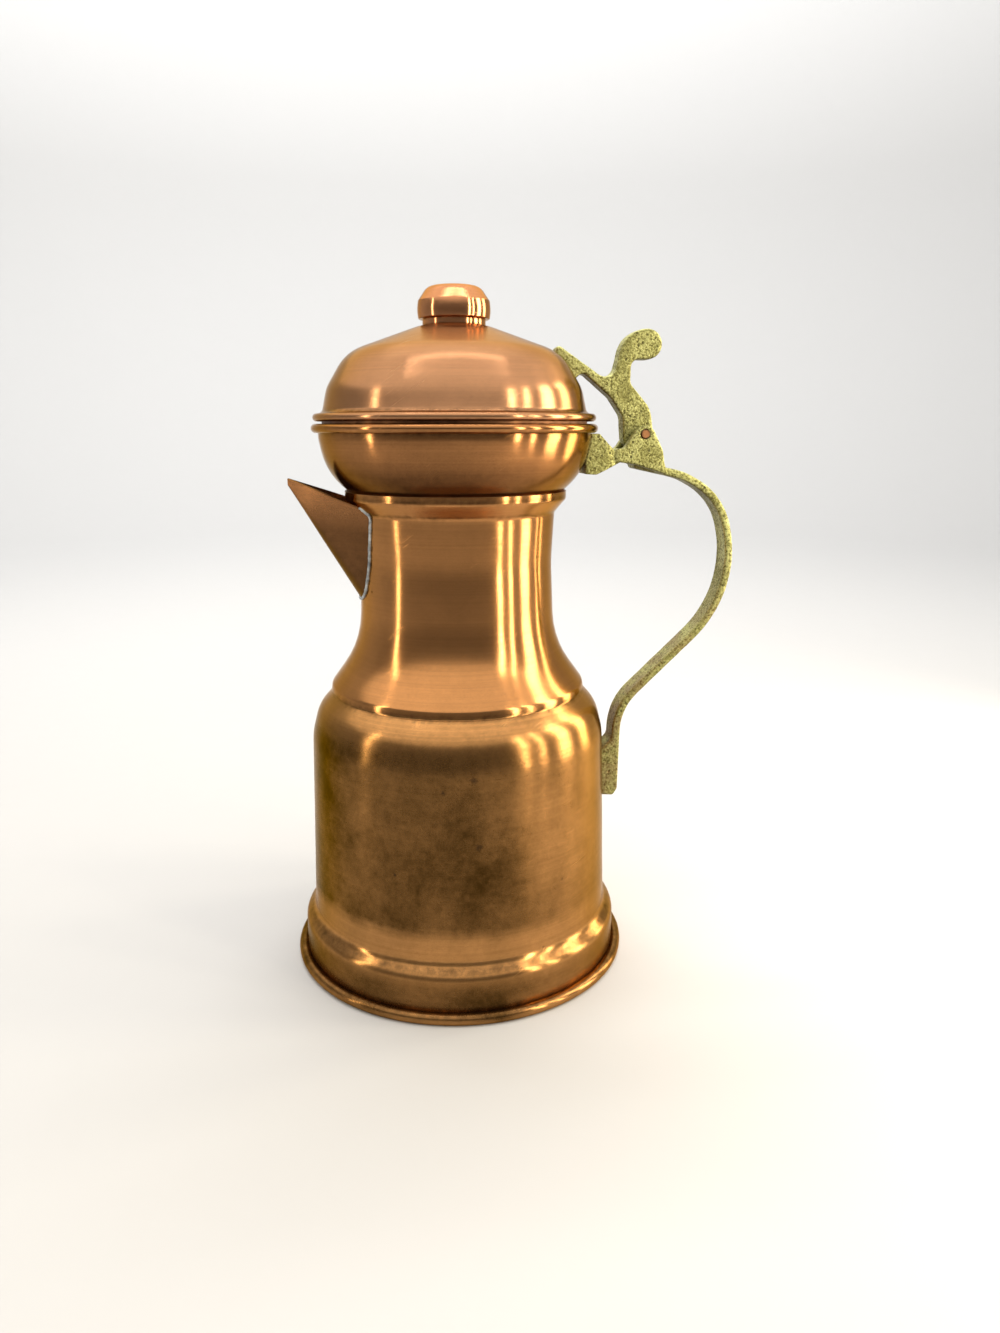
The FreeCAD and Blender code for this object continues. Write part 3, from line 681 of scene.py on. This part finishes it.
def solder_tree():
    """Nodes that lay an uneven bead along a line of points."""
    tree = bpy.data.node_groups.new("solder_bead", "GeometryNodeTree")
    given = add_inputs(tree, {name: "Float" for name in solder_settings} | {"Solder": "Material"})
    start = Wire(tree)
    line = start.node("GeometryNodeMeshToCurve", {}, {"Mesh": given["Geometry"]})
    line = start.node("GeometryNodeResampleCurve", {}, {"Curve": line, "Count": bead_points})
    ring = start.node("GeometryNodeCurvePrimitiveCircle", {}, {
        "Resolution": bead_sides, "Radius": given["Bead radius"],
    })
    bead = start.node("GeometryNodeCurveToMesh", {}, {
        "Curve": line, "Profile Curve": ring, "Fill Caps": True,
    })
    position = start.node("GeometryNodeInputPosition", {}, {})
    normal = start.node("GeometryNodeInputNormal", {}, {})
    lump = (clouds(position, given["Lumps per metre"], 2) - 0.5) * given["Lump depth"]
    shift = start.node("ShaderNodeVectorMath", {"operation": "SCALE"}, {0: normal, "Scale": lump})
    bead = start.node("GeometryNodeSetPosition", {}, {"Geometry": bead, "Offset": shift})
    bead = start.node("GeometryNodeRealizeInstances", {}, {"Geometry": bead})
    bead = start.node("GeometryNodeSetMaterial", {}, {"Geometry": bead, "Material": given["Solder"]})
    end_tree(tree, bead)
    return tree


def tin(name):
    """Dull tin solder, grey where it has oxidised."""
    material, place = new_material(name)
    grey = ramp(clouds(place, 450, 4), 0.35, 0.7)
    set_shader(material, {
        "Base Color": blend(grey, solder_bright, solder_grey), "Metallic": 1,
        "Roughness": 0.3 + grey * 0.3, "Normal": relief(grey, 0.0002, 0.3),
    })
    return material


seam_mesh = bpy.data.meshes.new("seam_line")
seam_mesh.from_pydata(spout_seam, [(end - 1, end) for end in range(1, len(spout_seam))], [])
tin_solder = tin("tin_solder")
solder_bead = grown("solder_bead", seam_mesh, solder_tree(), solder_settings | {"Solder": tin_solder})
fit(solder_bead, "vessel", "tin_solder", "spout_solder")

# Handle: strap, pad, bridge and hinge ears in one sand casting of yellow brass.
# Its skin is grainy and pitted, greenish in the hollows and lighter where hands rub it, with a painted
# highlight on its upward faces, painted shade on its downward faces and painted glints.

brass_skin = (0.235, 0.225, 0.070, 1)
brass_worn_and_lit = (0.50, 0.50, 0.20, 1)
brass_glint = (0.72, 0.66, 0.32, 1)
brass_grime = (0.15, 0.075, 0.03, 1)
brass_dark = (0.05, 0.042, 0.012, 1)
cast_voxel = 0.00042
cast_depth = 0.00022
coarse_grains_per_metre = 260
fine_grains_per_metre = 800
pin_place = Vector(frame["joints"][0]["pos_m"])
bore_radius = 0.00188


def sand_cast(name):
    """Sand-cast brass: grainy skin with dark pits, lighter worn grains, painted glints, a painted highlight
    on upward faces and painted shade on downward ones.
    """
    material, place = new_material(name)
    height = axis_of(place, "Z")
    patch = clouds(place, 120, 4, 0.6)
    grain = clouds(place, 1150, 3, 0.65)
    speck = clouds(place, 2600, 2)
    holes = pits(place, 420, 0.3, 0.45)
    worn = ramp(grain * 0.6 + patch * 0.4, 0.46, 0.62)
    facing = place.node("ShaderNodeTexCoord", {}, {}, "Normal")
    upward = axis_of(facing, "Z")
    colour = blend(worn, brass_skin, brass_worn_and_lit)
    # Painted highlight on upward faces, painted shade on downward faces.
    colour = blend(ramp(upward, 0.25, 0.8) * 0.55, colour, brass_worn_and_lit)
    colour = blend(ramp(upward, -0.15, -0.75) * 0.7, colour, brass_dark)
    colour = blend(ramp(grain, 0.47, 0.36) * 0.75, colour, brass_dark)
    # Painted glints on small specks.
    colour = blend(ramp(speck, 0.6, 0.75) * 0.4, colour, brass_glint)
    colour = blend(holes * 0.7, colour, brass_dark)
    colour = blend(ramp(height, 0.175, 0.135) * ramp(patch, 0.42, 0.6) * 0.6, colour, brass_grime)
    set_shader(material, {
        "Base Color": colour, "Metallic": 0.85, "Roughness": 0.62 - worn * 0.22,
        "Normal": relief(grain + speck * 0.4 - holes * 0.8, 0.0003, 0.7),
    })
    return material


def casting(name, node):
    """A rough-skinned copy of a CAD node: merged, remeshed finely and pitted inwards."""
    seed = bpy.data.objects.new(name + "_seed", frame["nodes"][node].data.copy())
    bpy.context.scene.collection.objects.link(seed)
    weld = seed.modifiers.new("weld", "WELD")
    weld.merge_threshold = merge_distance
    skin = seed.modifiers.new("skin", "REMESH")
    skin.mode = "VOXEL"
    skin.voxel_size = cast_voxel
    soften = seed.modifiers.new("soften", "SMOOTH")
    soften.factor = 0.5
    soften.iterations = 3
    piece = finished(name, seed)
    normals = [vertex.normal.copy() for vertex in piece.data.vertices]
    for vertex, normal in zip(piece.data.vertices, normals):
        coarse = noise.noise(vertex.co * coarse_grains_per_metre)
        fine = noise.noise(vertex.co * fine_grains_per_metre)
        vertex.co -= normal * cast_depth * (0.5 + 0.5 * (coarse * 0.7 + fine * 0.3))
        from_pin = Vector((vertex.co.x - pin_place.x, 0, vertex.co.z - pin_place.z))
        if from_pin.length < bore_radius:
            vertex.co += from_pin.normalized() * (bore_radius - from_pin.length)
    piece.data.materials.clear()
    piece.data.materials.append(cast_brass)
    return piece


cast_brass = sand_cast("cast_brass")
handle_casting = casting("handle_casting", "handle")
fit(handle_casting, "vessel", "cast_brass", "handle")

# Rivets of the handle: copper, with hammered round heads inside the bowl and the belly.
# Two hold the pad on the bowl, and two hold the foot of the strap on the belly.

rivet_clean = (0.62, 0.30, 0.13, 1)
rivet_dark = (0.16, 0.08, 0.04, 1)

rivet_copper = raw_copper("rivet_copper", rivet_clean, rivet_dark)
dress("handle_bowl_rivets", rivet_copper)
dress("handle_belly_rivets", rivet_copper)

# Hinge pin: copper rod through the ears and the lever, its ends hammered flush.
# Dark grease and dirt sit in a ring round it.

pin_clean = (0.40, 0.19, 0.085, 1)
pin_dark = (0.07, 0.04, 0.02, 1)
pin_radius = 0.00185

pin_copper, pin_spot = new_material("pin_copper")
from_axis = pin_spot.node("ShaderNodeVectorMath", {"operation": "SUBTRACT"}, {0: pin_spot, 1: pin_place})
from_axis = stretched(from_axis, (1, 0, 1))
from_axis = from_axis.node("ShaderNodeVectorMath", {"operation": "LENGTH"}, {0: from_axis}, "Value")
pin_grime = ramp(from_axis + clouds(pin_spot, 900, 3) * 0.0008, pin_radius * 0.85, pin_radius * 1.2)
pin_grain = clouds(pin_spot, 1600, 3)
set_shader(pin_copper, {
    "Base Color": blend(pin_grime, pin_clean, pin_dark), "Metallic": 1,
    "Roughness": 0.35 + pin_grain * 0.2, "Normal": relief(pin_grain, 0.0002, 0.4),
})
dress("hinge_pin", pin_copper)

# Lid: dome of spun copper sheet, polished to a pinker brown than the body.
# Its edge is rolled under over a wire, with a raised ledge inside the rim.

lid_bead_radius = 0.0015
dome_path = [
    (0.0021, 0.2635, 0),
    (0.0145, 0.2635, 0.006),
    (0.0426, 0.2534, 0.018),
    (0.0506, 0.2403, 0.014),
    (0.0527, 0.2305, 0.0022),
    (0.0564, 0.2305, lid_bead_radius),
    (0.0564, 0.2275, lid_bead_radius),
    (0.0547, 0.2275, 0),
]
lid_clean = (0.40, 0.202, 0.100, 1)
lid_brown = (0.19, 0.094, 0.047, 1)
# Heights where dirt and painted shade darken the lid's creases.
lid_dirt_and_shade = [(0.2312, 0.0016), (0.2278, 0.0012)]

lid_copper = polished_copper("lid_copper", lid_clean, lid_brown,
                             tarnish=0.6, dirt_and_shade_heights=lid_dirt_and_shade, base_roughness=0.16)
dome_sheet = spun_sheet("dome_sheet", dome_path, lid_copper, lining_copper, wave_depth=0.0004)
fit(dome_sheet, "lid", "lid_copper", "lid_dome")

# Lid bezel: ring of dull copper sheet soldered inside the dome.
# It drops into the mouth of the bowl and centres the lid.

bezel_path = [
    (0.0506, 0.2360, 0),
    (0.0513, 0.2327, 0.0015),
    (0.0529, 0.2277, 0.0015),
    (0.0529, 0.2213, 0),
]

bezel_ring = spun_sheet("bezel_ring", bezel_path, lining_copper, lining_copper, wave_depth=0.0)
fit(bezel_ring, "lid", "raw_copper", "lid_bezel")

# Knob: turned from solid copper and polished, with a neck, a straight band and a low crown.
# A stud through the top of the dome holds it.

knob_base = 0.2635
knob_rounds = 160
knob_path = [
    (0.0021, knob_base, 0),
    (0.0124, knob_base, 0.0005),
    (0.0124, knob_base + 0.0028, 0.0005),
    (0.0140, knob_base + 0.0028, 0.0005),
    (0.0145, knob_base + 0.0062, 0.014),
    (0.0140, knob_base + 0.0096, 0.0005),
    (0.0104, knob_base + 0.0149, 0.0045),
    (0.0, knob_base + 0.0155, 0),
]
knob_clean = (0.58, 0.26, 0.115, 1)
knob_brown = (0.24, 0.10, 0.06, 1)
# Heights where dirt and painted shade darken the knob's creases.
knob_dirt_and_shade = [(knob_base + 0.0026, 0.0012), (knob_base + 0.0005, 0.001)]


def turned_form(name, points, material, round_count):
    """A form of one material, spun from a row of points."""
    return grown(name, row_mesh(name, points), spinning, {
        "Round count": round_count, "Wave depth": 0.0, "Waves per metre": waves_per_metre,
        "Lining from": 0, "Lining to": 0, "Outside": material, "Lining": material,
    })


knob_copper = polished_copper("knob_copper", knob_clean, knob_brown,
                              tarnish=0.7, dirt_and_shade_heights=knob_dirt_and_shade, base_roughness=0.1)
turned_knob = turned_form("turned_knob", along_path(knob_path, run_step=0.001), knob_copper, knob_rounds)
fit(turned_knob, "lid", "knob_copper", "knob")

# Knob stud and washer: copper, inside the dome, seen only with the lid open.
# The end of the stud is hammered over the washer.

dress("knob_stud", rivet_copper)
dress("knob_washer", lining_copper)

# Thumb lever: arm, thumb piece and hinge knuckle in one sand casting of the brass of the handle.
# Two copper rivets hold its arm on the dome.

lever_casting = casting("lever_casting", "thumb_lever")
fit(lever_casting, "lid", "cast_brass", "thumb_lever")
dress("lever_rivets", rivet_copper)

# Stage: a pale floor that curves up all round into a backdrop, and the camera of the photograph.
# The light is soft: a glowing roof, upright lamps at the sides, a strip overhead and a lamp on the backdrop.

floor_colour = (0.46, 0.458, 0.454, 1)
floor_shade = (0.43, 0.425, 0.42, 1)
floor_radius = 2.6
cove_bend = 0.9
backdrop_height = 3.2
stage_rounds = 96
world_light = (0.22, 0.212, 0.20, 1)
sky_colour = (1.0, 0.96, 0.90, 1)
sky_strength = 1.6
sky_line = [complex(0, 1.29), complex(0.34, 1.29), complex(1.07, 0.68)]
warm_light = (1.0, 0.88, 0.68)
pale_light = (1.0, 0.97, 0.93)
white_light = (1, 1, 1)
pitcher_middle = Vector((0, 0, 0.14))
backdrop_middle = Vector((0, 2.6, 0.8))
side_elevation = 12
# Each upright lamp has a name, an azimuth, a distance, a width, a height and a power.
side_lamps = [
    ("right_window", 80, 0.55, 0.12, 0.48, 2.2),
    ("right_pane", 104, 0.55, 0.10, 0.48, 1.5),
    ("right_strip", 44, 0.65, 0.05, 0.48, 1.4),
    ("right_edge", 58, 0.6, 0.03, 0.48, 0.9),
    ("left_strip", -76, 0.6, 0.04, 0.45, 0.6),
]
camera_place = (-0.0381, -0.3957, 0.2250)
camera_down = 14
camera_turn = -8.1
camera_lens = 25.83
camera_sensor = 36


def softbox(name, target, azimuth, elevation, distance, width, tall, power, colour):
    """A soft rectangular lamp that looks at a target; azimuth 0 is the front, 90 the handle's side."""
    lamp = bpy.data.lights.new(name, "AREA")
    lamp.shape = "RECTANGLE"
    lamp.size = width
    lamp.size_y = tall
    lamp.energy = power
    lamp.color = colour
    stand = bpy.data.objects.new(name, lamp)
    stand.visible_camera = False
    around = math.radians(azimuth)
    up = math.radians(elevation)
    way = Vector((math.sin(around) * math.cos(up), -math.cos(around) * math.cos(up), math.sin(up)))
    stand.location = target + way * distance
    stand.rotation_euler = way.to_track_quat("Z", "Y").to_euler()
    bpy.context.scene.collection.objects.link(stand)


floor, floor_place = new_material("pale_floor")
floor_grain = clouds(floor_place, 60, 4)
set_shader(floor, {
    "Base Color": blend(floor_grain * 0.1, floor_colour, floor_shade),
    "Roughness": 0.7 + floor_grain * 0.1,
})
cove_path = [(0, 0, 0), (floor_radius, 0, cove_bend), (floor_radius, backdrop_height, 0)]
backdrop = turned_form("backdrop", along_path(cove_path, bend_step=0.1, run_step=0.4), floor, stage_rounds)

world = bpy.data.worlds.new("studio")
world.use_nodes = True
world.node_tree.nodes["Background"].inputs["Color"].default_value = world_light
bpy.context.scene.world = world

for lamp_name, azimuth, distance, width, tall, power in side_lamps:
    softbox(lamp_name, pitcher_middle, azimuth, side_elevation, distance, width, tall, power, warm_light)
sky_glow = new_material("sky_glow")[0]
set_shader(sky_glow, {
    "Base Color": (0, 0, 0, 1), "Emission Color": sky_colour, "Emission Strength": sky_strength,
})
sky_ring = turned_form("sky_ring", sky_line, sky_glow, stage_rounds)
sky_ring.visible_camera = False
sky_ring.visible_shadow = False
softbox("overhead", pitcher_middle, azimuth=0, elevation=80, distance=0.60,
        width=0.60, tall=0.022, power=0.55, colour=pale_light)
softbox("backdrop_wash", backdrop_middle, azimuth=0, elevation=50, distance=2.2,
        width=2.4, tall=0.8, power=100, colour=white_light)

camera = bpy.data.objects.new("camera", bpy.data.cameras.new("camera"))
camera.data.lens = camera_lens
camera.data.sensor_width = camera_sensor
camera.location = camera_place
camera.rotation_euler = (math.radians(90 - camera_down), 0, math.radians(camera_turn))
bpy.context.scene.collection.objects.link(camera)
bpy.context.scene.camera = camera
bpy.context.scene.view_settings.view_transform = "Standard"
